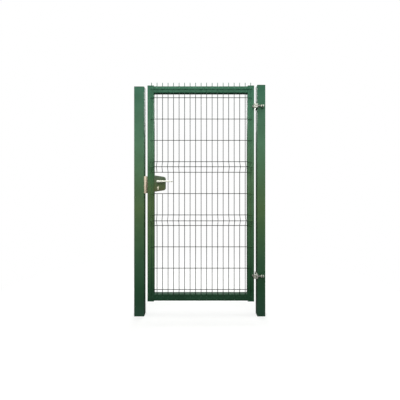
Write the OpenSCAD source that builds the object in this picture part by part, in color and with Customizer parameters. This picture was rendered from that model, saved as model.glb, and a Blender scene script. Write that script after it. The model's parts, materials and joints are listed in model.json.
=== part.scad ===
// Pedestrian gate in a square-tube frame, with a folded welded-mesh panel,
// two posts, two adjustable eye-and-fork hinges and a lever lock.
// The origin is at the centre of the hinge post's foot: X runs from the lock
// side to the hinge side, -Y is the side that the gate opens to, Z is up.

/* [Posts] */
// Height of the hinge post above the ground
hinge_post_h = 2140; // [1900:5:2400]
// Height of the lock post above the ground
lock_post_h = 2125; // [1900:5:2400]
// Width of the hinge post across the gateway
hinge_post_w = 75; // [70:1:100]
// Width of the lock post across the gateway
lock_post_w = 93; // [80:1:120]
// Depth of both posts
post_d = 80; // [70:5:100]
// Wall of the post tubes
post_wall = 3; // [2:0.5:4]
// Outer corner radius of the post tubes
post_corner_r = 5; // [4:0.5:8]
// Thickness of the plate that closes a post's top and foot
post_cap_t = 4; // [3:1:8]

/* [Leaf frame] */
// Width of the leaf
leaf_w = 990; // [900:5:1100]
// Height of the leaf's frame
leaf_h = 1990; // [1890:10:2100]
// Gap under the leaf's frame
ground_gap = 140; // [60:5:160]
// Gap between the leaf and the hinge post
hinge_gap = 27; // [26:1:40]
// Gap between the leaf and the lock post
lock_gap = 29; // [29:1:40]
// Width and depth of the square frame tube
tube_w = 60; // [50:5:70]
// Wall of the frame tube
tube_wall = 2; // [1.5:0.5:3]
// Outer corner radius of the frame tube
tube_corner_r = 4; // [3:0.5:5]
// Height of the cap that stands on each end of a stile
stile_cap_h = 8; // [5:1:12]
// Chamfer round a stile cap
stile_cap_chamfer = 3; // [1:0.5:4]
// Depth that a cap's plug reaches into its tube
cap_plug_h = 20; // [10:1:30]
// Gap between a cap's plug and its tube
plug_clearance = 0.2; // [0.1:0.1:0.5]

/* [Mesh panel] */
// Diameter of the panel's wires
wire_d = 6; // [4:0.5:6.5]
// Number of upright wires
wire_count = 19; // [17:1:20]
// Distance between upright wires
wire_pitch = 51; // [50:0.5:52]
// Distance of the panel's middle from the leaf's middle, towards the hinges
panel_shift = 3; // [-6:1:6]
// Distance between cross wires on the flat stretches
row_pitch = 197; // [180:1:205]
// Height of one fold
fold_h = 98; // [80:1:120]
// Distance that a fold stands out from the panel
fold_depth = 42; // [25:1:50]
// Overlap of two wires where they are welded
weld_overlap = 1; // [0.5:0.1:1.5]
// Length of a cross wire past the outer upright wires
row_overhang = 10; // [6:1:20]
// Height of the spikes above the frame
spike_h = 30; // [20:1:60]
// Distance of the end cross wires from the frame's outer edge
end_row_inset = 27; // [20:1:40]
// Least distance between an end cross wire and the next one
least_row_gap = 40; // [20:5:60]
// Distance of the upright wires' lower ends from the frame's outer edge
wire_foot_inset = 10; // [6:1:18]
// Height of the lock window's middle above the lock case's centre
window_rise = 6; // [0:1:16]
// Least gap between the lock case and the upright wires beside it
window_gap = 12; // [5:1:20]

/* [Hinges] */
// Distance of the upper hinge's centre below the top of the leaf
upper_hinge_inset = 190; // [150:1:300]
// Distance of the lower hinge's centre above the bottom of the leaf
lower_hinge_inset = 237; // [150:1:300]
// Distance of the hinge pins in front of the posts
pin_standoff = 18; // [17:0.5:24]
// Diameter of the hinge pins and of the threaded rods
pin_d = 14; // [12:1:16]
// Running clearance between a pin and a bore, on the radius
pin_clearance = 0.05; // [0.02:0.01:0.1]
// Outer diameter of the eye and of the fork
knuckle_d = 26; // [26:1:32]
// Height of the eye on the leaf
eye_h = 16; // [14:1:24]
// Height of each fork lug
fork_lug_h = 10; // [8:1:20]
// Gap between the eye and each fork lug
knuckle_gap = 0.3; // [0.2:0.1:0.6]
// Space between the eye and the fork's web
fork_throat = 3; // [2:0.5:5]
// Thickness of the fork's web, which lies along the post's inner side
fork_web_t = 10; // [8:0.5:12]
// Distance of the web's far end from the post's back face
fork_web_inset = 4; // [0:1:30]
// Corner radius of the fork's web
fork_web_r = 4; // [2:0.5:6]
// Thickness of the hinge lug on the post
post_lug_t = 6; // [5:1:10]
// Height of the hinge lug on the post
post_lug_h = 42; // [36:1:50]
// Place of the hinge lug from the middle of the hinge post
post_lug_x = 5; // [2:1:12]
// Distance across the flats of the hinge nuts
nut_af = 24; // [21:0.5:25]
// Height of the hinge nuts
nut_h = 10; // [8:0.5:11]
// Length of the rod past its outer nut
rod_past_nut = 3; // [2:1:8]
// Diameter of the pin's heads
pin_head_d = 22; // [20:0.5:24]
// Height of the pin's heads
pin_head_h = 2; // [1.5:0.5:5]
// Length of the hinge arm's foot on the stile
arm_foot_l = 20; // [14:1:26]
// Thickness of the hinge arm's foot
arm_foot_t = 10; // [8:1:14]
// Thickness of the hinge arm where it meets the eye
arm_neck_t = 14; // [10:1:20]

/* [Lock] */
// Height of the lock case's centre above the ground
lock_z = 1227; // [1100:1:1300]
// Length of the lock case from the stile
case_l = 105; // [80:1:115]
// Height of the lock case at the stile
case_root_h = 155; // [120:1:158]
// Height of the lock case at its free end
case_tip_h = 123; // [100:1:140]
// Depth of the lock case through the leaf
case_d = 44; // [30:1:54]
// Radius of the case's free corners
case_corner_r = 22; // [8:1:24]
// Distance of the lever's axis from the stile
lever_backset = 38; // [30:1:45]
// Height of the lever's axis above the case's centre
lever_rise = 21; // [18:1:30]
// Distance from the lever's axis down to the cylinder's centre
cylinder_drop = 65; // [60:1:72]
// Diameter of the cylinder's round part
cylinder_d = 17; // [16:0.5:18]
// Width of the cylinder's web
cylinder_web_w = 10; // [9:0.5:11]
// Total height of the cylinder's profile
cylinder_h = 33; // [30:0.5:34]
// Length that the cylinder stands out on each side
cylinder_proud = 5; // [2:0.5:10]
// Diameter of the lever's spindle
spindle_d = 16; // [14:0.5:18]
// Reach of the levers from the lock case
lever_reach = 50; // [45:1:60]
// Thickness of the lever's grip
lever_t = 12; // [8:0.5:14]
// Diameter of the lever's hub
lever_hub_d = 18; // [18:0.5:28]
// Length of the lever from its axis
lever_l = 130; // [80:1:140]
// Height of the lever at its tip
lever_tip_h = 12; // [10:0.5:18]
// Length of the lock's front plate
front_plate_l = 200; // [170:5:240]
// Width of the lock's front plate
front_plate_w = 24; // [20:1:30]
// Thickness of the lock's front plate
front_plate_t = 2.5; // [2:0.5:3]
// Width of the holes for the latch and the dead bolt
bolt_hole_w = 14; // [10:1:18]
// Height of the holes for the latch and the dead bolt
bolt_hole_h = 34; // [24:1:40]
// Height of the keep on the lock post
keep_h = 160; // [140:5:200]
// Distance of the keep's centre below the lock case's centre
keep_drop = 11; // [0:1:20]
// Distance that the keep's front lip reaches from the post
keep_reach = 19; // [12:1:19]
// Gap between the leaf's back and the keep's stop
keep_stop_gap = 5; // [5:0.5:9]
// Distance that the keep's stop reaches behind the leaf
keep_stop_overlap = 14; // [8:1:25]
// Thickness of the keep's steel
keep_t = 3; // [2:0.5:4]

/* [Hidden] */
$fn = 48;
eps = 0.01;
least_r = 0.5;
wire_sides = 6;
// Turn that puts a flat of each wire against the frame
wire_turn = 90 - 180 / wire_sides;
nut_sides = 6;
steel_green = [0.16, 0.34, 0.22];
case_green = [0.25, 0.31, 0.21];
cap_green = [0.12, 0.25, 0.17];
zinc = [0.68, 0.68, 0.64];
zinc_tan = [0.74, 0.69, 0.60];
alloy = [0.84, 0.85, 0.80];
nickel = [0.68, 0.67, 0.58];

// Places across the gateway
leaf_hinge_x = -hinge_post_w / 2 - hinge_gap;
leaf_lock_x = leaf_hinge_x - leaf_w;
lock_post_face_x = leaf_lock_x - lock_gap;
lock_post_x = lock_post_face_x - lock_post_w / 2;
// Places through the leaf and up it
leaf_front_y = -tube_w / 2;
leaf_top_z = ground_gap + leaf_h;
// Panel: two folds, with the lock's window in the stretch between them
window_foot_z = lock_z + window_rise - row_pitch / 2;
window_top_z = window_foot_z + row_pitch;
lower_fold_top_z = window_foot_z - row_pitch;
lower_fold_z = lower_fold_top_z - fold_h;
upper_fold_z = window_top_z;
upper_fold_top_z = upper_fold_z + fold_h;
low_end_z = ground_gap + end_row_inset;
high_end_z = leaf_top_z - end_row_inset;
lower_rows = [for (z = lower_fold_z; z > low_end_z + least_row_gap; z = z - row_pitch) z];
middle_rows = [lower_fold_top_z, window_foot_z, window_top_z];
upper_rows = [for (z = upper_fold_top_z; z < high_end_z - least_row_gap; z = z + row_pitch) z];
flat_rows = concat([low_end_z], lower_rows, middle_rows, upper_rows, [high_end_z]);
fold_rows = [lower_fold_z + fold_h / 2, upper_fold_z + fold_h / 2];
first_wire_x = leaf_hinge_x - leaf_w / 2 + panel_shift - (wire_count - 1) * wire_pitch / 2;
wire_y = leaf_front_y - wire_d / 2;
row_y = wire_y - wire_d + weld_overlap;
bend_overlap = wire_d / 4;
// Hinges: the fork's web bears on the side of the post
fork_web_x = knuckle_d / 2 + fork_throat;
pin_x = -hinge_post_w / 2 - fork_web_t - fork_web_x;
pin_y = -post_d / 2 - pin_standoff;
knuckle_h = eye_h + 2 * (knuckle_gap + fork_lug_h);
bore_r = pin_d / 2 + pin_clearance;
// Lock
case_x = leaf_lock_x + tube_w;
lever_x = case_x + lever_backset;
lever_z = lock_z + lever_rise;
cylinder_z = lever_z - cylinder_drop;
bolt_hole_zs = [lever_z, cylinder_z];
keep_foot_z = lock_z - keep_drop - keep_h / 2;
keep_stop_y = tube_w / 2 + keep_stop_gap;

// ---- shared shapes ----

// A rectangle with round corners, centred on the origin
module round_rect(w, d, r) {
    square([w - 2 * r, d], center = true);
    square([w, d - 2 * r], center = true);
    for (sx = [-1, 1], sy = [-1, 1])
        translate([sx * (w / 2 - r), sy * (d / 2 - r)])
            circle(r);
}

// A length of rectangular tube standing on the XY plane
module tube(w, d, wall, r, h) {
    linear_extrude(h)
        difference() {
            round_rect(w, d, r);
            round_rect(w - 2 * wall, d - 2 * wall, max(r - wall, least_r));
        }
}

// ---- posts ----

// A post: a tube closed by a plate at its foot
module post(w, h) {
    color(steel_green) {
        tube(w, post_d, post_wall, post_corner_r, h - post_cap_t);
        linear_extrude(post_cap_t)
            round_rect(w, post_d, post_corner_r);
    }
}

// The cap on a post, with the plug that holds it in the tube
module post_cap(w, h) {
    plug_off = 2 * (post_wall + plug_clearance);
    color(cap_green) {
        translate([0, 0, h - post_cap_t])
            linear_extrude(post_cap_t)
                round_rect(w, post_d, post_corner_r);
        translate([0, 0, h - post_cap_t - cap_plug_h])
            linear_extrude(cap_plug_h + eps)
                round_rect(w - plug_off, post_d - plug_off, post_corner_r - post_wall);
    }
}

// ---- leaf frame ----

module stile(x) {
    color(steel_green)
        translate([x, 0, ground_gap])
            tube(tube_w, tube_w, tube_wall, tube_corner_r, leaf_h);
}

// A rail between the stiles, whose ends butt on them
module rail(z) {
    color(steel_green)
        translate([leaf_lock_x + tube_w, 0, z])
            rotate([0, 90, 0])
                tube(tube_w, tube_w, tube_wall, tube_corner_r, leaf_w - 2 * tube_w);
}

// Outline of a stile cap from the side, chamfered at the outer end
module cap_profile() {
    half = tube_w / 2;
    polygon([[-half, 0], [half, 0], [half, stile_cap_h - stile_cap_chamfer],
        [half - stile_cap_chamfer, stile_cap_h], [-half + stile_cap_chamfer, stile_cap_h],
        [-half, stile_cap_h - stile_cap_chamfer]]);
}

// A cap that points up from the XY plane, with its plug below
module stile_cap() {
    plug_w = tube_w - 2 * (tube_wall + plug_clearance);
    color(cap_green) {
        intersection() {
            rotate([90, 0, 0])
                linear_extrude(tube_w, center = true)
                    cap_profile();
            rotate([90, 0, 90])
                linear_extrude(tube_w, center = true)
                    cap_profile();
        }
        translate([0, 0, -cap_plug_h])
            linear_extrude(cap_plug_h + eps)
                round_rect(plug_w, plug_w, tube_corner_r - tube_wall);
    }
}

module top_cap(x) translate([x, 0, leaf_top_z]) stile_cap();
module bottom_cap(x) translate([x, 0, ground_gap]) mirror([0, 0, 1]) stile_cap();

// ---- mesh panel ----

function wire_x(i) = first_wire_x + i * wire_pitch;
// The lock's window takes out the upright wires that the case would meet
function in_window(i) = wire_x(i) > case_x && wire_x(i) < case_x + case_l + window_gap;

// A straight upright piece of wire from [y, z] point p to q, longer at both ends by extra
module upright_piece(p, q, extra) {
    d = q - p;
    translate([0, p[0], p[1]])
        rotate([-atan2(d[0], d[1]), 0, 0])
            translate([0, 0, -extra])
                rotate(wire_turn)
                    cylinder(d = wire_d / cos(180 / wire_sides), h = norm(d) + 2 * extra, $fn = wire_sides);
}

// One fold of an upright wire, with its lower end at height z
module fold_wire(z) {
    foot = [wire_y, z];
    peak = [wire_y - fold_depth, z + fold_h / 2];
    top = [wire_y, z + fold_h];
    upright_piece(foot, peak, bend_overlap);
    upright_piece(peak, top, bend_overlap);
}

// One upright wire, with its two folds and the spike at its top
module upright_wire(i) {
    middle_top_z = in_window(i) ? window_foot_z : window_top_z;
    translate([wire_x(i), 0, 0]) {
        upright_piece([wire_y, ground_gap + wire_foot_inset], [wire_y, lower_fold_z], 0);
        fold_wire(lower_fold_z);
        upright_piece([wire_y, lower_fold_top_z], [wire_y, middle_top_z], 0);
        fold_wire(upper_fold_z);
        upright_piece([wire_y, upper_fold_top_z], [wire_y, leaf_top_z + spike_h], 0);
    }
}

// One cross wire in front of the upright wires
module cross_wire(z, out) {
    length = (wire_count - 1) * wire_pitch + 2 * row_overhang;
    translate([first_wire_x - row_overhang, row_y - out, z])
        rotate([0, 90, 0])
            rotate(wire_turn)
                cylinder(d = wire_d / cos(180 / wire_sides), h = length, $fn = wire_sides);
}

module mesh_panel() {
    color(steel_green) {
        for (i = [0 : wire_count - 1])
            upright_wire(i);
        for (z = flat_rows)
            cross_wire(z, 0);
        for (z = fold_rows)
            cross_wire(z, fold_depth);
    }
}

// ---- hinges ----

module at_upper_hinge() translate([pin_x, pin_y, leaf_top_z - upper_hinge_inset]) children();
module at_lower_hinge() translate([pin_x, pin_y, ground_gap + lower_hinge_inset]) children();

// The lug on the post's front face that the fork bolt passes through
module hinge_lug() {
    lug_from_pin = post_lug_x - pin_x;
    color(steel_green)
        translate([lug_from_pin - post_lug_t / 2, 0, 0])
            rotate([90, 0, 90])
                linear_extrude(post_lug_t)
                    difference() {
                        union() {
                            translate([0, -post_lug_h / 2])
                                square([pin_standoff, post_lug_h]);
                            circle(d = post_lug_h);
                        }
                        translate([pin_standoff, -post_lug_h])
                            square([post_lug_h, 2 * post_lug_h]);
                        circle(bore_r);
                    }
}

// The threaded rod and the fork at its end, about the pin's axis. The fork's web
// runs back along the post, so that the fork can't turn on its rod.
module fork_bolt() {
    rod_end = post_lug_x - pin_x + post_lug_t / 2 + nut_h + rod_past_nut;
    web_front_y = -knuckle_d / 2;
    web_back_y = post_d / 2 - fork_web_inset - pin_y;
    color(zinc)
        difference() {
            union() {
                translate([fork_web_x, 0, 0])
                    rotate([0, 90, 0])
                        cylinder(d = pin_d, h = rod_end - fork_web_x);
                translate([fork_web_x, (web_front_y + web_back_y) / 2, 0])
                    rotate([90, 0, 90])
                        linear_extrude(fork_web_t)
                            round_rect(web_back_y - web_front_y, knuckle_h, fork_web_r);
                for (s = [0, 1])
                    mirror([0, 0, s])
                        translate([0, 0, eye_h / 2 + knuckle_gap])
                            linear_extrude(fork_lug_h) {
                                circle(d = knuckle_d);
                                translate([0, web_front_y])
                                    square([fork_web_x + eps, knuckle_d]);
                            }
            }
            translate([0, 0, -knuckle_h])
                cylinder(r = bore_r, h = 2 * knuckle_h);
        }
}

// The two nuts that clamp the rod to the lug
module hinge_nuts() {
    lug_from_pin = post_lug_x - pin_x;
    color(zinc)
        for (x = [lug_from_pin - post_lug_t / 2 - nut_h, lug_from_pin + post_lug_t / 2])
            translate([x, 0, 0])
                rotate([0, 90, 0])
                    difference() {
                        cylinder(d = nut_af / cos(180 / nut_sides), h = nut_h, $fn = nut_sides);
                        translate([0, 0, -eps])
                            cylinder(r = bore_r, h = nut_h + 2 * eps);
                    }
}

module hinge_pin() {
    color(zinc) {
        translate([0, 0, -knuckle_h / 2])
            cylinder(d = pin_d, h = knuckle_h);
        for (s = [0, 1])
            mirror([0, 0, s])
                translate([0, 0, knuckle_h / 2])
                    cylinder(d = pin_head_d, h = pin_head_h);
    }
}

// The arm on the leaf: a foot on the stile's front face and an eye round the pin
module hinge_arm() {
    edge_x = leaf_hinge_x - pin_x;
    face_y = leaf_front_y - pin_y;
    foot_x = edge_x - arm_foot_l;
    foot_y = face_y - arm_foot_t;
    along = [foot_x + edge_x, foot_y + face_y] / norm([foot_x + edge_x, foot_y + face_y]);
    across = [-along[1], along[0]] * arm_neck_t / 2;
    color(zinc)
        translate([0, 0, -eye_h / 2])
            linear_extrude(eye_h)
                difference() {
                    union() {
                        circle(d = knuckle_d);
                        polygon([[foot_x, foot_y], across, -across, [edge_x, face_y], [foot_x, face_y]]);
                    }
                    circle(bore_r);
                }
}

// ---- lock ----

// Outline of the case from the front: tall at the stile, round at the free end
module case_outline() {
    r = case_corner_r;
    tip_x = case_l;
    root = case_root_h / 2;
    tip = case_tip_h / 2;
    slope = atan2(root - tip, case_l);
    corner = [tip_x - r, tip - r / cos(slope) + r * tan(slope)];
    polygon([[0, root], [0, -root], [corner[0] + r * sin(slope), -corner[1] - r * cos(slope)],
        [corner[0], -corner[1]], corner, corner + [r * sin(slope), r * cos(slope)]]);
    translate([0, -corner[1]])
        square([tip_x, 2 * corner[1]]);
    for (s = [-1, 1])
        translate([corner[0], s * corner[1]])
            circle(r);
}

// Profile of the lock cylinder, with its round part at the top
module cylinder_profile(grow) {
    translate([0, cylinder_h / 2 - cylinder_d / 2])
        circle(d = cylinder_d + 2 * grow);
    translate([-cylinder_web_w / 2 - grow, -cylinder_h / 2 - grow])
        square([cylinder_web_w + 2 * grow, cylinder_h - cylinder_d / 2 + grow]);
}

module lock_case() {
    color(case_green)
        difference() {
            translate([case_x, case_d / 2, lock_z])
                rotate([90, 0, 0])
                    linear_extrude(case_d)
                        case_outline();
            translate([lever_x, case_d, lever_z])
                rotate([90, 0, 0])
                    cylinder(r = spindle_d / 2 + pin_clearance, h = 2 * case_d);
            translate([lever_x, case_d, cylinder_z])
                rotate([90, 0, 0])
                    linear_extrude(2 * case_d)
                        cylinder_profile(plug_clearance);
        }
}

module lock_cylinder() {
    color(nickel)
        translate([lever_x, case_d / 2 + cylinder_proud, cylinder_z])
            rotate([90, 0, 0])
                linear_extrude(case_d + 2 * cylinder_proud)
                    cylinder_profile(0);
}

// The holes for the latch and the dead bolt, through a plate t thick whose face is at x
module bolt_holes(x, t) {
    for (z = bolt_hole_zs)
        translate([x - eps, -bolt_hole_w / 2, z - bolt_hole_h / 2])
            cube([t + 2 * eps, bolt_hole_w, bolt_hole_h]);
}

module lock_front_plate() {
    color(zinc)
        difference() {
            translate([leaf_lock_x - front_plate_t, -front_plate_w / 2, lock_z - front_plate_l / 2])
                cube([front_plate_t, front_plate_w, front_plate_l]);
            bolt_holes(leaf_lock_x - front_plate_t, front_plate_t);
        }
}

// The keep: a plate on the side of the lock post, with a lip at the front
// and, behind the leaf, the stop that the leaf closes against
module lock_keep() {
    front_y = -post_d / 2;
    stop_l = lock_gap + keep_stop_overlap;
    color(zinc_tan)
        difference() {
            translate([lock_post_face_x, 0, keep_foot_z])
                linear_extrude(keep_h) {
                    translate([0, front_y])
                        square([keep_t, keep_stop_y + keep_t - front_y]);
                    translate([0, front_y])
                        square([keep_reach, keep_t]);
                    translate([0, keep_stop_y])
                        square([stop_l, keep_t]);
                }
            bolt_holes(lock_post_face_x, keep_t);
        }
}

// The spindle and the necks of both levers
module lever_spindle() {
    length = case_d + 2 * (lever_reach - lever_t);
    color(alloy)
        translate([lever_x, length / 2, lever_z])
            rotate([90, 0, 0])
                cylinder(d = spindle_d, h = length);
}

// A lever's grip, seen from the front, tapering to its round tip
module lever_outline() {
    circle(d = lever_hub_d);
    translate([lever_l - lever_tip_h / 2, 0])
        circle(d = lever_tip_h);
    polygon([[0, lever_hub_d / 2], [0, -lever_hub_d / 2],
        [lever_l - lever_tip_h / 2, -lever_tip_h / 2], [lever_l - lever_tip_h / 2, lever_tip_h / 2]]);
}

module lever() {
    color(alloy)
        translate([lever_x, -case_d / 2 - lever_reach + lever_t, lever_z])
            rotate([90, 0, 0])
                linear_extrude(lever_t)
                    lever_outline();
}

post(hinge_post_w, hinge_post_h);  // hinge_post
translate([lock_post_x, 0, 0]) post(lock_post_w, lock_post_h);  // lock_post
post_cap(hinge_post_w, hinge_post_h);  // hinge_post_cap
translate([lock_post_x, 0, 0]) post_cap(lock_post_w, lock_post_h);  // lock_post_cap
at_upper_hinge() hinge_lug();  // upper_hinge_lug
at_lower_hinge() hinge_lug();  // lower_hinge_lug
at_upper_hinge() fork_bolt();  // upper_fork_bolt
at_lower_hinge() fork_bolt();  // lower_fork_bolt
at_upper_hinge() hinge_nuts();  // upper_hinge_nuts
at_lower_hinge() hinge_nuts();  // lower_hinge_nuts
at_upper_hinge() hinge_pin();  // upper_hinge_pin
at_lower_hinge() hinge_pin();  // lower_hinge_pin
lock_keep();
stile(leaf_hinge_x - tube_w / 2);  // hinge_stile
stile(leaf_lock_x + tube_w / 2);  // lock_stile
rail(leaf_top_z - tube_w / 2);  // top_rail
rail(ground_gap + tube_w / 2);  // bottom_rail
top_cap(leaf_hinge_x - tube_w / 2);  // hinge_stile_top_cap
bottom_cap(leaf_hinge_x - tube_w / 2);  // hinge_stile_bottom_cap
top_cap(leaf_lock_x + tube_w / 2);  // lock_stile_top_cap
bottom_cap(leaf_lock_x + tube_w / 2);  // lock_stile_bottom_cap
mesh_panel();
at_upper_hinge() hinge_arm();  // upper_hinge_arm
at_lower_hinge() hinge_arm();  // lower_hinge_arm
lock_case();
lock_front_plate();
lock_cylinder();
lever();  // front_lever
mirror([0, 1, 0]) lever();  // back_lever
lever_spindle();
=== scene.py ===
"""The looks of the pedestrian gate: materials, small hardware, welds, wires, light and camera."""
import json
import math

import bmesh
import bpy
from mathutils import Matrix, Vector

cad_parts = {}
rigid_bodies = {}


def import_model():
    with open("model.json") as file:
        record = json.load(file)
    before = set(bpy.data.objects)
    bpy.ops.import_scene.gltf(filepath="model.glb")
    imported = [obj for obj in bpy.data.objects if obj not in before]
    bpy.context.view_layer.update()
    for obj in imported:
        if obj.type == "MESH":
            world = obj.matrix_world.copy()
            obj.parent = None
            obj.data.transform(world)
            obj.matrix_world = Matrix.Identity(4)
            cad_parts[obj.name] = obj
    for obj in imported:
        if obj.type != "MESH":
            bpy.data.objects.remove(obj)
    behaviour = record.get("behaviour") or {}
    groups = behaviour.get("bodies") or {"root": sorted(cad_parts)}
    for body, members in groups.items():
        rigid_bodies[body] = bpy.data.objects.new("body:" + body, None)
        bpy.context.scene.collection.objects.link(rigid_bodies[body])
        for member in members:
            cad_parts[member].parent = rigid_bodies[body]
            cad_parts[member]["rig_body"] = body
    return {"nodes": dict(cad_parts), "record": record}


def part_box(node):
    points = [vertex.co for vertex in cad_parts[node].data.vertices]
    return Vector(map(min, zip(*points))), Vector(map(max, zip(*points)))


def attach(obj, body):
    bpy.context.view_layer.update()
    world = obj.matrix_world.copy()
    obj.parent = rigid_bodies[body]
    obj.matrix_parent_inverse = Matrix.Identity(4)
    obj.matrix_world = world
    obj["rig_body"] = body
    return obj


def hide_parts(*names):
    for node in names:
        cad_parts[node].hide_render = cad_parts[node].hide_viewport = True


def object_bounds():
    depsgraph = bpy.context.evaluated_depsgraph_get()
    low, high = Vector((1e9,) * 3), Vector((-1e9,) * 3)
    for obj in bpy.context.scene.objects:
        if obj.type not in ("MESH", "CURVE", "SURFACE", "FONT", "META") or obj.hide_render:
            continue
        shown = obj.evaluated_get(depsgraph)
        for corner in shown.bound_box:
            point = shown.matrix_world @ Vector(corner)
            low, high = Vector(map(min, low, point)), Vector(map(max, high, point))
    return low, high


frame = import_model()
CAD_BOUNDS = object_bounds()
NODES = frame["nodes"]


# ---- colours and materials ----

def srgb(text):
    """A colour written as rrggbb, as linear RGBA."""
    channels = [int(text[i:i + 2], 16) / 255 for i in (0, 2, 4)]
    linear = [c / 12.92 if c <= 0.04045 else ((c + 0.055) / 1.055) ** 2.4 for c in channels]
    return (*linear, 1.0)


def add_node(tree, kind, **values):
    """A node of a tree, with its properties and unlinked inputs set by name."""
    node = tree.nodes.new(kind)
    for key, value in values.items():
        if hasattr(node, key):
            setattr(node, key, value)
        else:
            node.inputs[key.replace("_", " ").title()].default_value = value
    return node


def map_range(tree, source, low, high, to_low, to_high):
    """The source's value, mapped from one range to another and clamped."""
    node = tree.nodes.new("ShaderNodeMapRange")
    tree.links.new(source, node.inputs["Value"])
    for name, value in (("From Min", low), ("From Max", high), ("To Min", to_low), ("To Max", to_high)):
        node.inputs[name].default_value = value
    return node.outputs["Result"]


def mixed(tree, factor, first, second, blend="MIX"):
    """Two colours mixed by a factor. Each is a colour or a socket."""
    node = tree.nodes.new("ShaderNodeMix")
    node.data_type = "RGBA"
    node.blend_type = blend
    factor_in, a_in, b_in = node.inputs[0], node.inputs[6], node.inputs[7]
    for socket, value in ((factor_in, factor), (a_in, first), (b_in, second)):
        if isinstance(value, bpy.types.NodeSocket):
            tree.links.new(value, socket)
        else:
            socket.default_value = value
    return node.outputs[2]


def noise(tree, coords, scale, detail=3.0, roughness=0.55, stretch=None):
    """Noise in the piece's own coordinates, in cycles per metre."""
    source = coords
    if stretch:
        mapping = tree.nodes.new("ShaderNodeMapping")
        mapping.inputs["Scale"].default_value = stretch
        tree.links.new(coords, mapping.inputs["Vector"])
        source = mapping.outputs["Vector"]
    node = add_node(tree, "ShaderNodeTexNoise", scale=scale, detail=detail, roughness=roughness)
    tree.links.new(source, node.inputs["Vector"])
    return node.outputs["Fac"]


def start_material(name):
    """A new node material, with its tree, its shader and the piece's own coordinates."""
    material = bpy.data.materials.new(name)
    material.use_nodes = True
    tree = material.node_tree
    shader = tree.nodes["Principled BSDF"]
    coords = tree.nodes.new("ShaderNodeTexCoord").outputs["Object"]
    return material, tree, shader, coords


def set_bump(tree, shader, heights):
    """Bumps one over the other. Each height is (socket, strength, distance in metres)."""
    normal = None
    for socket, strength, distance in heights:
        bump = tree.nodes.new("ShaderNodeBump")
        bump.inputs["Strength"].default_value = strength
        bump.inputs["Distance"].default_value = distance
        tree.links.new(socket, bump.inputs["Height"])
        if normal is not None:
            tree.links.new(normal, bump.inputs["Normal"])
        normal = bump.outputs["Normal"]
    tree.links.new(normal, shader.inputs["Normal"])


def height_shade_ramp(tree, coords, stops):
    """A colour that changes up the height, painting light and shade. Each stop is (height in metres,
    rrggbb).
    """
    split = tree.nodes.new("ShaderNodeSeparateXYZ")
    tree.links.new(coords, split.inputs["Vector"])
    low, high = stops[0][0], stops[-1][0]
    ramp = tree.nodes.new("ShaderNodeValToRGB")
    elements = ramp.color_ramp.elements
    for i, (z, colour) in enumerate(stops):
        element = elements[i] if i < 2 else elements.new(1.0)
        element.position = (z - low) / (high - low)
        element.color = srgb(colour)
    tree.links.new(map_range(tree, split.outputs["Z"], low, high, 0.0, 1.0), ramp.inputs["Fac"])
    return ramp.outputs["Color"]


# Noise scales are in cycles per metre. A bump is its strength and its depth in metres.
CLOUD_SCALE = 7.0
CLOUD_SHARE = 0.30
SPECK_SCALE = 900.0
SPECK_SHARE = 0.25
SHEEN_SCALE = 30.0
SHEEN_BELOW = 0.05
SHEEN_ABOVE = 0.09
PEEL_SCALE = 420.0
PEEL_BUMP = (0.12, 0.0006)
WAVE_SCALE = 60.0
WAVE_BUMP = (0.05, 0.002)
COAT_SPECULAR = 0.15
CLEAR_WEIGHT = 0.04
CLEAR_ROUGHNESS = 0.3
PAINT_SPOT = "a8b8a8"


def clouded(tree, coords, tone, spot):
    """A tone with soft clouds of a second colour multiplied over it."""
    cloud = map_range(tree, noise(tree, coords, CLOUD_SCALE), 0.35, 0.7, 0.0, CLOUD_SHARE)
    return mixed(tree, cloud, tone, srgb(spot), "MULTIPLY")


def satin(tree, shader, coords, gloss):
    """The satin sheen of a coating, a little uneven."""
    sheen = noise(tree, coords, SHEEN_SCALE)
    rough = map_range(tree, sheen, 0.3, 0.7, gloss - SHEEN_BELOW, gloss + SHEEN_ABOVE)
    tree.links.new(rough, shader.inputs["Roughness"])
    shader.inputs["Specular IOR Level"].default_value = COAT_SPECULAR


def powder_coat(name, stops, spot=PAINT_SPOT, gloss=0.52):
    """Powder coat: painted light and shade up the height, a soft cloud, a fine mottle and orange peel."""
    material, tree, shader, coords = start_material(name)
    tone = clouded(tree, coords, height_shade_ramp(tree, coords, stops), spot)
    speck = map_range(tree, noise(tree, coords, SPECK_SCALE, 2.0), 0.58, 0.8, 0.0, SPECK_SHARE)
    tree.links.new(mixed(tree, speck, tone, srgb(spot), "MULTIPLY"), shader.inputs["Base Color"])
    satin(tree, shader, coords, gloss)
    shader.inputs["Coat Weight"].default_value = CLEAR_WEIGHT
    shader.inputs["Coat Roughness"].default_value = CLEAR_ROUGHNESS
    set_bump(tree, shader, [(noise(tree, coords, PEEL_SCALE, 2.0), *PEEL_BUMP),
                            (noise(tree, coords, WAVE_SCALE, 1.0), *WAVE_BUMP)])
    return material


COAT_FADE = 0.008


def wire_coat(name, stops, frame_stops, low_x, high_x, gloss=0.46):
    """The mesh's coating: dark in the opening, and as green as the frame where it lies over the stiles,
    with painted light and shade up the height in both.
    """
    material, tree, shader, coords = start_material(name)
    split = tree.nodes.new("ShaderNodeSeparateXYZ")
    tree.links.new(coords, split.inputs["Vector"])
    inside = add_node(tree, "ShaderNodeMath", operation="MULTIPLY")
    for i, (edge, inward) in enumerate(((low_x, 1), (high_x, -1))):
        reach = inward * COAT_FADE
        fade = map_range(tree, split.outputs["X"], edge - reach, edge + reach, 0.0, 1.0)
        tree.links.new(fade, inside.inputs[i])
    tone = mixed(tree, inside.outputs["Value"], height_shade_ramp(tree, coords, frame_stops),
                 height_shade_ramp(tree, coords, stops))
    tree.links.new(clouded(tree, coords, tone, PAINT_SPOT), shader.inputs["Base Color"])
    satin(tree, shader, coords, gloss)
    set_bump(tree, shader, [(noise(tree, coords, PEEL_SCALE, 2.0), *PEEL_BUMP)])
    return material


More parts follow.
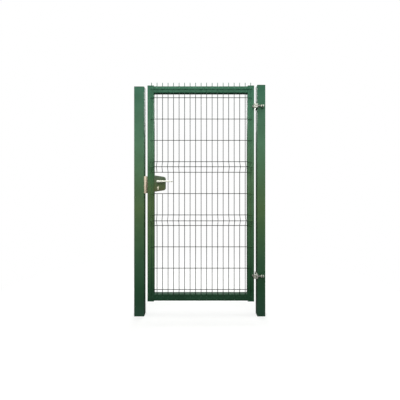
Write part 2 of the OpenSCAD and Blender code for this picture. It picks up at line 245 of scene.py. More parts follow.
SPANGLE_SCALE = 140.0
STREAK_SCALE = 700.0
STREAK_SPREAD = 0.12
STREAK_BUMP = (0.10, 0.0003)
DENT_SCALE = 90.0
DENT_BUMP = (0.06, 0.001)


def metal(name, light, dark, roughness, metallic, grain=(1.0, 1.0, 1.0)):
    """Bare or plated metal with a cloudy tone, a grain along one axis and fine scratches."""
    material, tree, shader, coords = start_material(name)
    cloud = map_range(tree, noise(tree, coords, SPANGLE_SCALE), 0.32, 0.68, 0.0, 1.0)
    tree.links.new(mixed(tree, cloud, srgb(dark), srgb(light)), shader.inputs["Base Color"])
    streak = noise(tree, coords, STREAK_SCALE, 2.0, stretch=grain)
    rough = map_range(tree, streak, 0.3, 0.7, roughness - STREAK_SPREAD, roughness + STREAK_SPREAD)
    tree.links.new(rough, shader.inputs["Roughness"])
    shader.inputs["Metallic"].default_value = metallic
    set_bump(tree, shader, [(streak, *STREAK_BUMP), (noise(tree, coords, DENT_SCALE, 2.0), *DENT_BUMP)])
    return material


MOULD_CLOUD_SCALE = 22.0
MOULD_SHEEN_SCALE = 50.0
MOULD_GRAIN_SCALE = 1500.0
MOULD_GRAIN_BUMP = (0.25, 0.0002)
MOULD_ROUGHNESS = (0.39, 0.53)
MOULD_IOR = 1.49


def plastic(name, light, dark):
    """Moulded plastic with a fine spark-eroded grain."""
    material, tree, shader, coords = start_material(name)
    cloud = map_range(tree, noise(tree, coords, MOULD_CLOUD_SCALE), 0.35, 0.65, 0.0, 1.0)
    tree.links.new(mixed(tree, cloud, srgb(dark), srgb(light)), shader.inputs["Base Color"])
    rough = map_range(tree, noise(tree, coords, MOULD_SHEEN_SCALE), 0.3, 0.7, *MOULD_ROUGHNESS)
    tree.links.new(rough, shader.inputs["Roughness"])
    shader.inputs["IOR"].default_value = MOULD_IOR
    set_bump(tree, shader, [(noise(tree, coords, MOULD_GRAIN_SCALE, 2.0), *MOULD_GRAIN_BUMP)])
    return material


# Tones up the height: each stop is (height in metres, rrggbb). They paint light and shade: darker near the
# ground and lighter higher up, where more light falls.
GREEN_SHADE_STOPS = [(0.0, "2d4d3c"), (0.25, "284e34"), (0.5, "3a5f43"), (0.75, "476946"), (1, "536f46"),
               (1.3, "507552"), (1.6, "4f7b5c"), (1.9, "427055"), (2.13, "376d53")]
# The lock stile, the hinge stile and the rails get lit and shaded copies of the same green, each with its
# own painted light and shade up the height. The lock stile's tones also turn browner about the lock's
# height.
LOCK_STILE_SHADE_STOPS = [(0.0, "2d4d3c"), (0.25, "284e34"), (0.61, "476a43"), (1.04, "556d43"), (1.19, "4e693f"),
                    (1.3, "427148"), (1.37, "3f6745"), (1.54, "547f5e"), (1.98, "3c7151"), (2.13, "376d53")]
HINGE_STILE_SHADE_STOPS = [(0.0, "274b38"), (0.25, "234d31"), (0.7, "3e6544"), (1.26, "567955"), (1.9, "457a5c"),
                     (2.13, "397157")]
# The rails: the bottom rail darker and the top rail lighter, as painted light and shade; the top rail's
# tone is lifted to make up for the shade of the wires over it.
RAIL_SHADE_STOPS = [(0.0, "254a33"), (0.25, "254a33"), (1.9, "3b7257"), (2.13, "3b7257")]
# The rail tacks' tones are lighter than the frame's green: a painted highlight, with painted shade darker
# lower down.
TACK_HIGHLIGHT_STOPS = [(0.0, "345a45"), (1.0, "5f7e52"), (2.13, "5a8c72")]
# The lock case's own olive, with painted light and shade up its height: browner low down, greyer and a
# little lighter at the top.
CASE_SHADE_STOPS = [(1.15, "646448"), (1.2, "5e6e45"), (1.3, "60715c")]

# The wires take the frame's green where they lie over a rail, with the rails' painted light and shade; in
# the opening they are dark, with painted shade that leaves them darker lower down.
RAIL_FADE = 0.003
rail_low, rail_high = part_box("top_rail")
bottom_low, bottom_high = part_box("bottom_rail")
WIRE_SHADE_STOPS = [(0.0, "28503a"), (bottom_high.z - RAIL_FADE, "28503a"), (bottom_high.z + RAIL_FADE, "18211c"),
              (0.6, "1c2620"), (1.0, "28302a"), (1.5, "2a3630"), (rail_low.z - RAIL_FADE, "2a3a33"),
              (rail_low.z + RAIL_FADE, "3a6f56"), (2.2, "3a6f56")]

MATERIALS = {
    # The frame's green, with painted light and shade up the height.
    "green_paint": powder_coat("green_paint", GREEN_SHADE_STOPS),
    # Lit and shaded copies of the green for the stiles and rails: painted light and shade.
    "lock_stile_shaded_green": powder_coat("lock_stile_shaded_green", LOCK_STILE_SHADE_STOPS),
    "hinge_stile_shaded_green": powder_coat("hinge_stile_shaded_green", HINGE_STILE_SHADE_STOPS),
    "rail_shaded_green": powder_coat("rail_shaded_green", RAIL_SHADE_STOPS),
    # The wires' coating, with painted light and shade up the height.
    "wire_coating": wire_coat("wire_coating", WIRE_SHADE_STOPS, GREEN_SHADE_STOPS, rail_low.x, rail_high.x),
    # Lighter green on the rail tacks: a painted highlight.
    "tack_highlight_paint": powder_coat("tack_highlight_paint", TACK_HIGHLIGHT_STOPS, "c8d4c8", 0.4),
    "cap_plastic": plastic("cap_plastic", "35634a", "2a5039"),
    # The case's olive, with painted light and shade up its height.
    "case_paint": powder_coat("case_paint", CASE_SHADE_STOPS, "a0a898", 0.48),
    "zinc": metal("zinc", "d8d9ce", "b4b5aa", 0.42, 0.6),
    "zinc_tan": metal("zinc_tan", "e6d4be", "d2bfa7", 0.5, 0.15, (0.15, 1.0, 0.15)),
    "nickel": metal("nickel", "f4f0d8", "e0dcbe", 0.4, 0.35, (1.0, 0.15, 1.0)),
    "lever_alloy": metal("lever_alloy", "fcfdf0", "f2f4e4", 0.4, 0.15, (0.12, 1.0, 1.0)),
    # Darker metal for the rod threads, and painted shade in the key slots.
    "dark_thread_and_keyway_shade": metal("dark_thread_and_keyway_shade", "8c8e88", "60625d", 0.5, 0.6),
}

# Each CAD node gets its slot's material, or the lit and shaded copy of the green that it is named with
# here.
CAD_SLOTS = {row["node"]: row["material_slot"] for row in frame["record"]["subparts"]}
SHADED_NODE_MATERIALS = {"lock_stile": "lock_stile_shaded_green", "hinge_stile": "hinge_stile_shaded_green",
                  "top_rail": "rail_shaded_green", "bottom_rail": "rail_shaded_green"}
for node_name, node_object in NODES.items():
    node_object.data.materials.clear()
    node_object.data.materials.append(MATERIALS[SHADED_NODE_MATERIALS.get(node_name, CAD_SLOTS[node_name])])


# ---- shapes in code ----

END_ROUND = 0.25


def circle_angles(count):
    return [2 * math.pi * j / count for j in range(count)]


class Shape:
    """Vertices and faces that become one piece."""

    def __init__(self):
        self.verts = []
        self.faces = []

    def rings(self, rings, closed_ends=True, loop=False):
        """Joins equal rings of points into a skin."""
        start, count = len(self.verts), len(rings[0])
        for ring in rings:
            self.verts.extend(Vector(p) for p in ring)
        last = len(rings) if loop else len(rings) - 1
        for i in range(last):
            a, b = start + i * count, start + ((i + 1) % len(rings)) * count
            for j in range(count):
                k = (j + 1) % count
                self.faces.append((a + j, a + k, b + k, b + j))
        if closed_ends and not loop:
            self.faces.append(tuple(start + j for j in reversed(range(count))))
            self.faces.append(tuple(start + (len(rings) - 1) * count + j for j in range(count)))

    def tube(self, path, radius, sides=12, ripple=None):
        """A round bar along a path, with each end slightly rounded."""
        points = [Vector(p) for p in path]
        tangents = []
        for i in range(len(points)):
            a, b = points[max(i - 1, 0)], points[min(i + 1, len(points) - 1)]
            tangents.append((b - a).normalized())
        side = tangents[0].orthogonal().normalized()
        rings = []
        for i, (p, t) in enumerate(zip(points, tangents)):
            side = (side - t * side.dot(t)).normalized()
            up = t.cross(side)
            r = radius * (ripple(i) if ripple else 1.0)
            ring = [p + (side * math.cos(a) + up * math.sin(a)) * r
                    for a in (2 * math.pi * (j + 0.5) / sides for j in range(sides))]
            end_face = [q * (1 - END_ROUND) + p * END_ROUND for q in ring]
            if i == 0:
                rings += [end_face, [q + t * radius * END_ROUND for q in ring]]
            elif i == len(points) - 1:
                rings += [[q - t * radius * END_ROUND for q in ring], end_face]
            else:
                rings.append(ring)
        self.rings(rings)

    def lathe(self, centre, axis, profile, sides=32, closed_ends=True):
        """Turns (radius, height) points about an axis through centre."""
        centre, axis = Vector(centre), Vector(axis).normalized()
        side = axis.orthogonal().normalized()
        up = axis.cross(side)
        self.rings([[centre + axis * h + (side * math.cos(a) + up * math.sin(a)) * r
                     for a in circle_angles(sides)] for r, h in profile], closed_ends)

    def blob(self, centre, radii, sides=8, levels=5):
        """A squashed ball, such as a spot of weld."""
        centre = Vector(centre)
        rings = []
        for i in range(1, levels):
            lat = math.pi * i / levels
            rings.append([centre + Vector((radii[0] * math.sin(lat) * math.cos(a),
                                           radii[1] * math.sin(lat) * math.sin(a),
                                           -radii[2] * math.cos(lat)))
                          for a in circle_angles(sides)])
        self.rings(rings)


def finish_piece(name, mesh, body, slot, material=None, sharp_deg=35.0, replaced=()):
    """Puts a mesh into the scene as a piece that rides on a body."""
    piece = bpy.data.objects.new(name, mesh)
    bpy.context.scene.collection.objects.link(piece)
    mesh.materials.clear()
    mesh.materials.append(MATERIALS[material or slot])
    mesh.shade_smooth()
    mesh.set_sharp_from_angle(angle=math.radians(sharp_deg))
    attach(piece, body)
    if replaced:
        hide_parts(*replaced)


def shape_piece(name, shape, body, slot, material=None, sharp_deg=35.0, replaced=()):
    """Puts a shape made in code into the scene, with its faces turned outward."""
    mesh = bpy.data.meshes.new(name)
    mesh.from_pydata([tuple(v) for v in shape.verts], [], shape.faces)
    work = bmesh.new()
    work.from_mesh(mesh)
    bmesh.ops.recalc_face_normals(work, faces=work.faces)
    work.to_mesh(mesh)
    work.free()
    finish_piece(name, mesh, body, slot, material, sharp_deg, replaced)


MERGE_DISTANCE = 1e-6
FLAT_DEG = 1.0


def softened(name, node, width, segments=2, limit_deg=35.0):
    """A CAD node's shape with its edges rounded, in that node's place."""
    mesh = NODES[node].data.copy()
    mesh.name = name
    work = bmesh.new()
    work.from_mesh(mesh)
    bmesh.ops.remove_doubles(work, verts=work.verts, dist=MERGE_DISTANCE)
    bmesh.ops.dissolve_limit(work, angle_limit=math.radians(FLAT_DEG), verts=work.verts, edges=work.edges)
    edges = [e for e in work.edges
             if len(e.link_faces) == 2 and e.calc_face_angle(0.0) > math.radians(limit_deg)]
    bmesh.ops.bevel(work, geom=edges, offset=width, segments=segments, profile=0.5,
                    affect="EDGES", clamp_overlap=True)
    work.to_mesh(mesh)
    work.free()
    finish_piece(name, mesh, NODES[node]["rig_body"], CAD_SLOTS[node], replaced=[node])


# ---- mesh panel: its driving sizes are those of the part's source ----

WIRE_D = 0.006
WIRE_COUNT = 19
ROW_OVERHANG = 0.010
WELD_OVERLAP = 0.001
FOLD_DEPTH = 0.042
FOLD_H = 0.098
ROW_PITCH = 0.197
BEND_R = 0.010
ROWS_BELOW = 4
ROWS_ABOVE = 4
WINDOW_RISE = 0.006
WINDOW_GAP = 0.012
END_ROW_INSET = 0.027

panel_low, panel_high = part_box("mesh_panel")
case_low, case_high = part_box("lock_case")
case_mid_z = (case_low.z + case_high.z) / 2
front_y = rail_low.y
wire_y = front_y - WIRE_D / 2
row_y = wire_y - WIRE_D + WELD_OVERLAP
first_x = panel_low.x + ROW_OVERHANG
pitch_x = (panel_high.x - panel_low.x - 2 * ROW_OVERHANG) / (WIRE_COUNT - 1)
wire_xs = [first_x + i * pitch_x for i in range(WIRE_COUNT)]
window_foot = case_mid_z + WINDOW_RISE - ROW_PITCH / 2
window_top = window_foot + ROW_PITCH
folds = (window_foot - ROW_PITCH - FOLD_H, window_top)
flat_rows = [folds[0] - i * ROW_PITCH for i in range(ROWS_BELOW)]
flat_rows += [window_foot - ROW_PITCH, window_foot, window_top]
flat_rows += [folds[1] + FOLD_H + i * ROW_PITCH for i in range(ROWS_ABOVE)]
end_rows = [bottom_low.z + END_ROW_INSET, rail_high.z - END_ROW_INSET]
peak_rows = [z + FOLD_H / 2 for z in folds]


def rounded_path(points, radius, steps=4):
    """A path whose corners are arcs of a radius."""
    path = [points[0]]
    for before, corner, after in zip(points, points[1:], points[2:]):
        a, b = (before - corner).normalized(), (after - corner).normalized()
        turn = math.pi - a.angle(b)
        reach = radius * math.tan(turn / 2)
        start, end = corner + a * reach, corner + b * reach
        for i in range(steps + 1):
            t = i / steps
            path.append(start * (1 - t) ** 2 + corner * 2 * t * (1 - t) + end * t ** 2)
    path.append(points[-1])
    return path


wires = Shape()
for x in wire_xs:
    corners = [Vector((x, wire_y, panel_low.z))]
    for foot in folds:
        corners += [Vector((x, wire_y, foot)), Vector((x, wire_y - FOLD_DEPTH, foot + FOLD_H / 2)),
                    Vector((x, wire_y, foot + FOLD_H))]
    corners.append(Vector((x, wire_y, panel_high.z)))
    runs = [corners]
    if case_low.x < x < case_high.x + WINDOW_GAP:
        below = corners[:4] + [Vector((x, wire_y, window_foot))]
        above = [Vector((x, wire_y, window_top - WIRE_D / 2))] + corners[5:]
        runs = [below, above]
    for run in runs:
        wires.tube(rounded_path(run, BEND_R), WIRE_D / 2)
for z in flat_rows + end_rows + peak_rows:
    y = row_y - (FOLD_DEPTH if z in peak_rows else 0.0)
    wires.tube([(panel_low.x, y, z), (panel_high.x, y, z)], WIRE_D / 2)
shape_piece("mesh_wires", wires, "leaf", "wire_coating", sharp_deg=60.0, replaced=["mesh_panel"])

CROSSING_WELD = (0.0036, 0.0022, 0.0036)
crossings = Shape()
for z in flat_rows + peak_rows:
    y = (wire_y + row_y) / 2 - (FOLD_DEPTH if z in peak_rows else 0.0)
    for x in wire_xs:
        crossings.blob((x, y, z), CROSSING_WELD)
shape_piece("mesh_spot_welds", crossings, "leaf", "wire_coating", sharp_deg=180.0)


def tack_pairs(shape, heights, apart, proud, radii):
    """A tack on each side of each upright, at each height on the rails."""
    for x in wire_xs:
        for z in heights:
            for side in (-1, 1):
                shape.blob((x + side * apart, front_y - proud, z), radii)


LARGE_TACK = (0.0034, 0.0030, 0.0105)
LARGE_TACK_APART = 0.0036
LARGE_TACK_PROUD = 0.0008
SMALL_TACK = (0.0022, 0.0018, 0.006)
SMALL_TACK_APART = 0.0030
SMALL_TACK_PROUD = 0.0006
STILE_TACK = (0.006, 0.003, 0.0034)
TOP_TACK_DROP = 0.020
BOTTOM_TACK_DROP = 0.022
TOP_TACK_RISE = 0.012
BOTTOM_TACK_RISE = 0.014
STILE_TACK_IN = 0.007
STILE_TACK_PROUD = 0.0022
# The tacks on the rails' faces are real welds drawn in a lighter green, a painted highlight.
rail_tacks = Shape()
tack_pairs(rail_tacks, (rail_high.z - TOP_TACK_DROP, bottom_high.z - BOTTOM_TACK_DROP),
           LARGE_TACK_APART, LARGE_TACK_PROUD, LARGE_TACK)
shape_piece("mesh_rail_welds", rail_tacks, "leaf", "green_paint", "tack_highlight_paint", sharp_deg=180.0)

tacks = Shape()
tack_pairs(tacks, (rail_low.z + TOP_TACK_RISE, bottom_low.z + BOTTOM_TACK_RISE),
           SMALL_TACK_APART, SMALL_TACK_PROUD, SMALL_TACK)
for z in flat_rows:
    for x in (panel_low.x + STILE_TACK_IN, panel_high.x - STILE_TACK_IN):
        tacks.blob((x, front_y - STILE_TACK_PROUD, z), STILE_TACK)
shape_piece("mesh_frame_welds", tacks, "leaf", "green_paint", sharp_deg=180.0)


# ---- frame welds ----

RIPPLE_PITCH = 0.0032
RIPPLE_SHARE = 0.10


def bead(shape, start, end, radius):
    """A run of weld between two points, with four rings to each of its ripples."""
    start, end = Vector(start), Vector(end)
    count = max(int((end - start).length / RIPPLE_PITCH * 4), 4)
    path = [start.lerp(end, i / count) for i in range(count + 1)]
    shape.tube(path, radius, 8, lambda i: 1.0 + RIPPLE_SHARE * math.cos(i * math.pi / 2))


BUTT_BEAD_R = 0.0019
CORNER_BEAD_R = 0.0030
CORNER_BEAD_IN = 0.0012
BEAD_SUNK = 0.0007
BEAD_MARGIN = 0.004
frame_welds = Shape()
for x, inward in ((rail_low.x, 1), (rail_high.x, -1)):
    for low, high, inner_z in ((rail_low, rail_high, rail_low.z), (bottom_low, bottom_high, bottom_high.z)):
        for y in (low.y + BEAD_SUNK, high.y - BEAD_SUNK):
            bead(frame_welds, (x, y, low.z + BEAD_MARGIN), (x, y, high.z - BEAD_MARGIN), BUTT_BEAD_R)
        corner_x = x + inward * CORNER_BEAD_IN
        bead(frame_welds, (corner_x, low.y + BEAD_MARGIN, inner_z),
             (corner_x, high.y - BEAD_MARGIN, inner_z), CORNER_BEAD_R)
shape_piece("frame_welds", frame_welds, "leaf", "green_paint", sharp_deg=80.0)


# ---- caps and hinges ----

POST_CAP_EDGE = 0.0012
STILE_CAP_EDGE = 0.0010
for cap in ("hinge_post_cap", "lock_post_cap"):
    softened(cap.replace("_cap", "_lid"), cap, POST_CAP_EDGE)
for cap in ("hinge_stile_top_cap", "hinge_stile_bottom_cap", "lock_stile_top_cap", "lock_stile_bottom_cap"):
    softened(cap.replace("_cap", "_plug"), cap, STILE_CAP_EDGE)

THREAD_PITCH = 0.002
THREAD_STEPS = 24
THREAD_ROOT = 0.45
THREAD_CREST = 0.08


def thread(shape, start, end, root, crest):
    """A screw thread's ridge round an X-wise rod, from start to end, that fades in and out."""
    start, end = Vector(start), Vector(end)
    steps = int((end.x - start.x) / THREAD_PITCH * THREAD_STEPS)
    half_turn = THREAD_STEPS / 2
    root_half = Vector((THREAD_PITCH * THREAD_ROOT, 0, 0))
    crest_half = Vector((THREAD_PITCH * THREAD_CREST, 0, 0))
    rings = []
    for i in range(steps + 1):
        a = 2 * math.pi * i / THREAD_STEPS
        out = Vector((0, math.cos(a), math.sin(a)))
        centre = start + Vector((THREAD_PITCH * i / THREAD_STEPS, 0, 0))
        top = root + (crest - root) * min(1.0, i / half_turn, (steps - i) / half_turn)
        rings.append([centre + out * root - root_half, centre + out * top - crest_half,
                      centre + out * top + crest_half, centre + out * root + root_half])
    shape.rings(rings)


NUT_SIDES = 48
NUT_CROWN = 0.96
NUT_CHAMFER_DEG = 30


def hex_nut(shape, centre, length, across, bore):
    """A nut along X with chamfered corners."""
    centre = Vector(centre)
    flat_r = across / 2
    crown_r = flat_r * NUT_CROWN

    def ring(radius_at, x_at):
        return [centre + Vector((x_at(a), radius_at(a) * math.cos(a), radius_at(a) * math.sin(a)))
                for a in circle_angles(NUT_SIDES)]

    def hex_r(a):
        return flat_r / math.cos((a + math.pi / 6) % (math.pi / 3) - math.pi / 6)

    def slope(a):
        return (hex_r(a) - crown_r) * math.tan(math.radians(NUT_CHAMFER_DEG))

    rings = [ring(lambda a: bore, lambda a: 0.0), ring(lambda a: crown_r, lambda a: 0.0),
             ring(hex_r, slope), ring(hex_r, lambda a: length - slope(a)),
             ring(lambda a: crown_r, lambda a: length), ring(lambda a: bore, lambda a: length)]
    shape.rings(rings, closed_ends=False, loop=True)


ROD_R = 0.007
THREAD_ROOT_R = ROD_R - 0.0003
THREAD_CREST_R = ROD_R + 0.0006
THREAD_INSET = 0.0015
THREAD_MARGIN = 0.0004
NUT_AF = 0.024
FORK_EDGE = 0.0008
ARM_EDGE = 0.0012
LUG_EDGE = 0.0010
PIN_EDGE = 0.0008
LUG_BEAD_R = 0.0024
ARM_BEAD_R = 0.0022
ARM_FOOT_L = 0.020
post_low, post_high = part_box("hinge_post")
for level in ("upper", "lower"):
    softened(level + "_fork", level + "_fork_bolt", FORK_EDGE)
    softened(level + "_eye_arm", level + "_hinge_arm", ARM_EDGE)
    softened(level + "_lug_plate", level + "_hinge_lug", LUG_EDGE)
    softened(level + "_pin_heads", level + "_hinge_pin", PIN_EDGE)
    nut_low, nut_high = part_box(level + "_hinge_nuts")
    lug_low, lug_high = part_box(level + "_hinge_lug")
    bolt_low, bolt_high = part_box(level + "_fork_bolt")
    axis_y = (nut_low.y + nut_high.y) / 2
    axis_z = (nut_low.z + nut_high.z) / 2
    nuts = Shape()
    for x0, x1 in ((nut_low.x, lug_low.x), (lug_high.x, nut_high.x)):
        hex_nut(nuts, (x0, axis_y, axis_z), x1 - x0, NUT_AF, ROD_R)
    shape_piece(level + "_nuts", nuts, "posts", "zinc", sharp_deg=20.0, replaced=[level + "_hinge_nuts"])
    ridges = Shape()
    for x0, x1 in ((post_low.x + THREAD_INSET, nut_low.x - THREAD_MARGIN),
                   (nut_high.x + THREAD_MARGIN, bolt_high.x - THREAD_MARGIN)):
        thread(ridges, (x0, axis_y, axis_z), (x1, axis_y, axis_z), THREAD_ROOT_R, THREAD_CREST_R)
    shape_piece(level + "_rod_thread", ridges, "posts", "zinc", "dark_thread_and_keyway_shade", sharp_deg=20.0)
    lug_weld = Shape()
    for x in (lug_low.x, lug_high.x):
        bead(lug_weld, (x, post_low.y, lug_low.z), (x, post_low.y, lug_high.z), LUG_BEAD_R)
    shape_piece(level + "_lug_weld", lug_weld, "posts", "green_paint", sharp_deg=80.0)
    arm_low, arm_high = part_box(level + "_hinge_arm")
    arm_weld = Shape()
    for z in (arm_low.z, arm_high.z):
        bead(arm_weld, (arm_low.x, front_y, z), (arm_low.x + ARM_FOOT_L, front_y, z), ARM_BEAD_R)
    bead(arm_weld, (arm_low.x, front_y, arm_low.z), (arm_low.x, front_y, arm_high.z), ARM_BEAD_R)
    shape_piece(level + "_arm_weld", arm_weld, "leaf", "green_paint", sharp_deg=80.0)


# ---- lock ----

CASE_EDGE = 0.0035
PLATE_EDGE = 0.0006
CYLINDER_EDGE = 0.0005
softened("lock_body", "lock_case", CASE_EDGE, 4, 50.0)
softened("keep_channel", "lock_keep", PLATE_EDGE)
softened("front_strip", "lock_front_plate", PLATE_EDGE)
softened("key_barrel", "lock_cylinder", CYLINDER_EDGE)

spindle_low, spindle_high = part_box("lever_spindle")
lever_x = (spindle_low.x + spindle_high.x) / 2
lever_z = (spindle_low.z + spindle_high.z) / 2
GRIP_POWER = 2.6
GRIP_STEPS = 44
GRIP_SIDES = 28
GRIP_TAPER = 0.8
GRIP_TIP_H = 0.0060
GRIP_ROUND_START = 0.006
GRIP_ROUND_END = 0.005
END_SLACK = 0.0008


def round_off(reach, length, least):
    """How full a rounded end is at a reach from its tip."""
    return math.sqrt(max(1 - (1 - min(reach / length, 1.0)) ** 2, least))


def oval_power(value):
    """A sine or cosine, swelled so that the section is an oval with fuller corners."""
    return math.copysign(abs(value) ** (2 / GRIP_POWER), value)


def lever_grip(name, node):
    """A cast lever: a round hub that runs into a tapering grip with a rounded end."""
    low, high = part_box(node)
    hub_r = (high.z - low.z) / 2
    mid_y = (low.y + high.y) / 2
    half_y = (high.y - low.y) / 2
    rings = []
    for i in range(GRIP_STEPS + 1):
        t = 0.5 - 0.5 * math.cos(math.pi * i / GRIP_STEPS)
        x = low.x + (high.x - low.x) * (END_SLACK + (1 - 2 * END_SLACK) * t)
        along = (x - lever_x) / (high.x - lever_x)
        tall = hub_r + (GRIP_TIP_H - hub_r) * min(max(along, 0.0), 1.0) ** GRIP_TAPER
        if x < lever_x:
            tall = math.sqrt(max(hub_r ** 2 - (x - lever_x) ** 2, 1e-9))
        tall *= round_off(high.x - x, GRIP_TIP_H, 1e-4)
        thick = half_y * round_off(x - low.x, GRIP_ROUND_START, 1e-3)
        thick *= round_off(high.x - x, GRIP_ROUND_END, 1e-3)
        rings.append([(x, mid_y + thick * oval_power(math.cos(a)), lever_z + tall * oval_power(math.sin(a)))
                      for a in circle_angles(GRIP_SIDES)])
    shape = Shape()
    shape.rings(rings)
    shape_piece(name, shape, "handle", "lever_alloy", sharp_deg=60.0, replaced=[node])


lever_grip("front_grip", "front_lever")
lever_grip("back_grip", "back_lever")

# Turned outlines are (radius, height) from the face that they stand on.
ROSE = [(0.0084, 0.0), (0.0120, 0.0), (0.0120, 0.0018), (0.0112, 0.0030), (0.0096, 0.0034),
        (0.0084, 0.0034)]
KEY_PLUG = [(0.0066, -0.001), (0.0066, 0.0003), (0.0060, 0.0007), (0.0020, 0.0007)]
CASE_SCREW = [(0.0020, 0.0004), (0.0022, 0.0016), (0.0034, 0.0016), (0.0042, 0.0010), (0.0044, -0.0005)]
PLATE_SCREW = [(0.0018, 0.0), (0.0020, 0.0007), (0.0050, 0.0009), (0.0056, 0.0002), (0.0056, -0.0005)]
KEEP_SCREW = [(0.0022, 0.0008), (0.0024, 0.0030), (0.0040, 0.0030), (0.0052, 0.0020), (0.0054, -0.0005)]
# One half of the key slot's outline, as (x, z) from the plug's centre, from the foot up.
KEY_SLOT_HALF = [(0.0008, -0.0048), (0.0008, 0.0030), (0.0016, 0.0036), (0.0014, 0.0046)]
KEY_SLOT_TOP = (0.0, 0.0050)
KEY_SLOT_FROM = 0.0006
KEY_SLOT_TO = 0.0009
PLUG_DROP = 0.0085
CASE_SCREWS = ((0.085, 0.044), (0.085, -0.044), (0.014, -0.059), (0.014, 0.059))

cylinder_low, cylinder_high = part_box("lock_cylinder")
plug_z = cylinder_high.z - PLUG_DROP
slot_outline = [(-KEY_SLOT_HALF[0][0], KEY_SLOT_HALF[0][1]), *KEY_SLOT_HALF, KEY_SLOT_TOP]
slot_outline += [(-x, z) for x, z in reversed(KEY_SLOT_HALF[1:])]
roses, plugs, slots, case_screws = Shape(), Shape(), Shape(), Shape()
for side, face_y, case_y in ((-1, cylinder_low.y, case_low.y), (1, cylinder_high.y, case_high.y)):
    out = (0, side, 0)
    roses.lathe((lever_x, case_y, lever_z), out, ROSE, 40, closed_ends=False)
    plugs.lathe((lever_x, face_y, plug_z), out, KEY_PLUG, 32)
    slots.rings([[(lever_x + x, face_y + side * depth, plug_z + z) for x, z in slot_outline]
                 for depth in (KEY_SLOT_FROM, KEY_SLOT_TO)])
    for dx, dz in CASE_SCREWS:
        case_screws.lathe((case_low.x + dx, case_y, case_mid_z + dz), out, CASE_SCREW, 20)
shape_piece("lever_roses", roses, "leaf", "lever_alloy", sharp_deg=30.0)
shape_piece("key_plugs", plugs, "leaf", "nickel", sharp_deg=30.0)
# The key slots are thin dark plates at the plug faces: painted shade where the keyway's hollow would be.
shape_piece("key_slot_shades", slots, "leaf", "nickel", "dark_thread_and_keyway_shade", sharp_deg=30.0)
shape_piece("case_screws", case_screws, "leaf", "case_paint", sharp_deg=30.0)

PLATE_SCREW_INSET = 0.012
plate_low, plate_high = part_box("lock_front_plate")
plate_screws = Shape()
for z in (plate_low.z + PLATE_SCREW_INSET, plate_high.z - PLATE_SCREW_INSET):
    plate_screws.lathe((plate_low.x, 0, z), (-1, 0, 0), PLATE_SCREW, 24)
shape_piece("plate_screws", plate_screws, "leaf", "zinc", sharp_deg=30.0)


def bar_ring(x, mid_z, half_w, half_h, radius=0.0015, steps=4):
    """A round-cornered rectangle across the X axis, on the leaf's middle plane."""
    ring = []
    for corner, (side_y, side_z) in enumerate(((1, 1), (-1, 1), (-1, -1), (1, -1))):
        for i in range(steps + 1):
            a = math.pi / 2 * (corner + i / steps)
            ring.append((x, side_y * (half_w - radius) + radius * math.cos(a),
                         mid_z + side_z * (half_h - radius) + radius * math.sin(a)))
    return ring


BOLT_HALF_W = 0.0062
BOLT_HALF_H = 0.0160
BOLT_CHAMFER = 0.0005
BOLT_SUNK = 0.0005
cylinder_z = (cylinder_low.z + cylinder_high.z) / 2
bolt_ends = Shape()
for mid_z in (lever_z, cylinder_z):
    face_x = plate_low.x + BOLT_SUNK
    bolt_ends.rings([bar_ring(plate_high.x, mid_z, BOLT_HALF_W, BOLT_HALF_H),
                     bar_ring(face_x + BOLT_CHAMFER, mid_z, BOLT_HALF_W, BOLT_HALF_H),
                     bar_ring(face_x, mid_z, BOLT_HALF_W - BOLT_CHAMFER, BOLT_HALF_H - BOLT_CHAMFER)])
shape_piece("bolt_ends", bolt_ends, "leaf", "zinc", "nickel", sharp_deg=30.0)

KEEP_T = 0.003
KEEP_SCREW_INSET = 0.020
keep_low, keep_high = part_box("lock_keep")
keep_y = (keep_low.y + keep_high.y) / 2
keep_screws = Shape()
for z in (keep_low.z + KEEP_SCREW_INSET, keep_high.z - KEEP_SCREW_INSET):
    keep_screws.lathe((keep_low.x + KEEP_T, keep_y, z), (1, 0, 0), KEEP_SCREW, 24)
shape_piece("keep_screws", keep_screws, "posts", "zinc", sharp_deg=30.0)


# ---- floor, light and camera ----

HORIZON_AMBIENT = 0.18
ZENITH_AMBIENT = 0.55
ZENITH_FROM = 0.7
FLOOR_GLOW = 0.06
FLOOR_WASH = 0.5
FLOOR_HALF = 30.0
FLOOR_CLOUD_SCALE = 1.2
FLOOR_ROUGHNESS = 0.85
FLOOR_SPECULAR = 0.1
FLOOR_GRAIN_SCALE = 60.0
FLOOR_GRAIN_BUMP = (0.02, 0.002)
PLAIN_FROM = 1.0
PLAIN_TO = 2.4


def seen(tree, lit_value, seen_value):
    """One value for light on its way to the gate, and another for what is seen directly."""
    direct = tree.nodes.new("ShaderNodeLightPath").outputs["Is Camera Ray"]
    node = tree.nodes.new("ShaderNodeMix")
    tree.links.new(direct, node.inputs[0])
    if isinstance(lit_value, bpy.types.NodeSocket):
        tree.links.new(lit_value, node.inputs[2])
    else:
        node.inputs[2].default_value = lit_value
    node.inputs[3].default_value = seen_value
    return node.outputs[0]


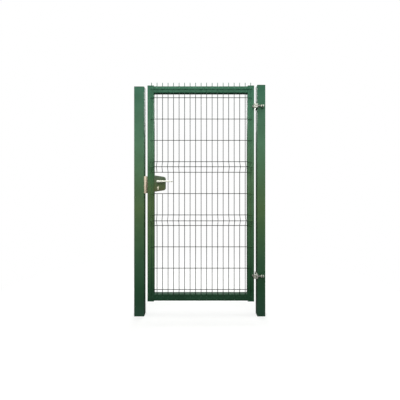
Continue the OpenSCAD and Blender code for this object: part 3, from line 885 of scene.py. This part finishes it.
def floor_material(middle):
    """A pale floor that takes soft shadows near the gate and runs into the plain white further out."""
    material, tree, shader, coords = start_material("studio_floor")
    cloud = map_range(tree, noise(tree, coords, FLOOR_CLOUD_SCALE), 0.35, 0.65, 0.0, 1.0)
    pale = mixed(tree, cloud, srgb("f2f3f1"), srgb("f6f7f6"))
    tree.links.new(mixed(tree, seen(tree, 0.0, 1.0), srgb("8e908c"), pale), shader.inputs["Base Color"])
    shader.inputs["Roughness"].default_value = FLOOR_ROUGHNESS
    shader.inputs["Specular IOR Level"].default_value = FLOOR_SPECULAR
    set_bump(tree, shader, [(noise(tree, coords, FLOOR_GRAIN_SCALE), *FLOOR_GRAIN_BUMP)])
    distance = add_node(tree, "ShaderNodeVectorMath", operation="DISTANCE")
    tree.links.new(coords, distance.inputs[0])
    distance.inputs[1].default_value = (middle.x, middle.y, 0.0)
    plain = tree.nodes.new("ShaderNodeEmission")
    plain.inputs["Color"].default_value = (1.0, 1.0, 1.0, 1.0)
    tree.links.new(seen(tree, FLOOR_GLOW, 1.0), plain.inputs["Strength"])
    blend = tree.nodes.new("ShaderNodeMixShader")
    wash = map_range(tree, distance.outputs["Value"], PLAIN_FROM, PLAIN_TO, FLOOR_WASH, 1.0)
    tree.links.new(wash, blend.inputs["Fac"])
    tree.links.new(shader.outputs["BSDF"], blend.inputs[1])
    tree.links.new(plain.outputs["Emission"], blend.inputs[2])
    tree.links.new(blend.outputs["Shader"], tree.nodes["Material Output"].inputs["Surface"])
    return material


low_corner, high_corner = (Vector(v) for v in CAD_BOUNDS)
centre = (low_corner + high_corner) / 2
floor_mesh = bpy.data.meshes.new("studio_floor")
floor_mesh.from_pydata([(-FLOOR_HALF, -FLOOR_HALF, 0), (FLOOR_HALF, -FLOOR_HALF, 0),
                        (FLOOR_HALF, FLOOR_HALF, 0), (-FLOOR_HALF, FLOOR_HALF, 0)], [], [(0, 1, 2, 3)])
floor_mesh.materials.append(floor_material(centre))
floor = bpy.data.objects.new("studio_floor", floor_mesh)
bpy.context.scene.collection.objects.link(floor)

world = bpy.data.worlds.new("studio")
bpy.context.scene.world = world
world.use_nodes = True
sky = world.node_tree
background = sky.nodes["Background"]
background.inputs["Color"].default_value = (1.0, 1.0, 1.0, 1.0)
dome = sky.nodes.new("ShaderNodeSeparateXYZ")
sky.links.new(sky.nodes.new("ShaderNodeTexCoord").outputs["Generated"], dome.inputs["Vector"])
ambient = map_range(sky, dome.outputs["Z"], 0.0, ZENITH_FROM, HORIZON_AMBIENT, ZENITH_AMBIENT)
sky.links.new(seen(sky, ambient, 1.0), background.inputs["Strength"])


def soft_light(name, place, aim, size, power, tint=(1.0, 1.0, 1.0)):
    """A rectangular light at a place, turned to its aim. Metres and watts."""
    data = bpy.data.lights.new(name, "AREA")
    data.shape = "RECTANGLE"
    data.size, data.size_y = size
    data.energy = power
    data.color = tint
    light = bpy.data.objects.new(name, data)
    light.location = place
    light.rotation_euler = (Vector(aim) - Vector(place)).to_track_quat("-Z", "Y").to_euler()
    bpy.context.scene.collection.objects.link(light)


soft_light("key", (centre.x - 0.3, -3.6, 2.7), (centre.x, 0, 1.5), (3.4, 2.4), 92.0, (1.0, 0.995, 0.98))
soft_light("top", (centre.x, -0.3, 4.6), (centre.x, 0, 0), (3.6, 3.6), 90.0)
soft_light("back", (centre.x, 3.4, 3.2), (centre.x, 0, 1.4), (2.4, 1.6), 70.0)
for side in (-1, 1):
    place = (centre.x + side * 3.6, 0.3, 2.2)
    soft_light("side_%d" % (side + 1), place, (centre.x, 0, 1.2), (1.6, 1.6), 26.0)

# The view's width is what the picture spans at the leaf's front, square to it.
CAMERA_X = -0.5854
CAMERA_Z = 1.2416
CAMERA_TO_FRAME = 2.6
VIEW_WIDTH = 3.708
SENSOR = 36.0
SHIFT_X = 0.005
SHIFT_Y = -0.045
camera_data = bpy.data.cameras.new("camera")
camera_data.sensor_width = SENSOR
camera_data.lens = SENSOR * CAMERA_TO_FRAME / VIEW_WIDTH
camera_data.shift_x = SHIFT_X
camera_data.shift_y = SHIFT_Y
camera_data.clip_end = 200.0
camera = bpy.data.objects.new("camera", camera_data)
camera.location = (CAMERA_X, front_y - CAMERA_TO_FRAME, CAMERA_Z)
camera.rotation_euler = (math.radians(90), 0, 0)
bpy.context.scene.collection.objects.link(camera)
bpy.context.scene.camera = camera
bpy.context.scene.view_settings.view_transform = "Standard"
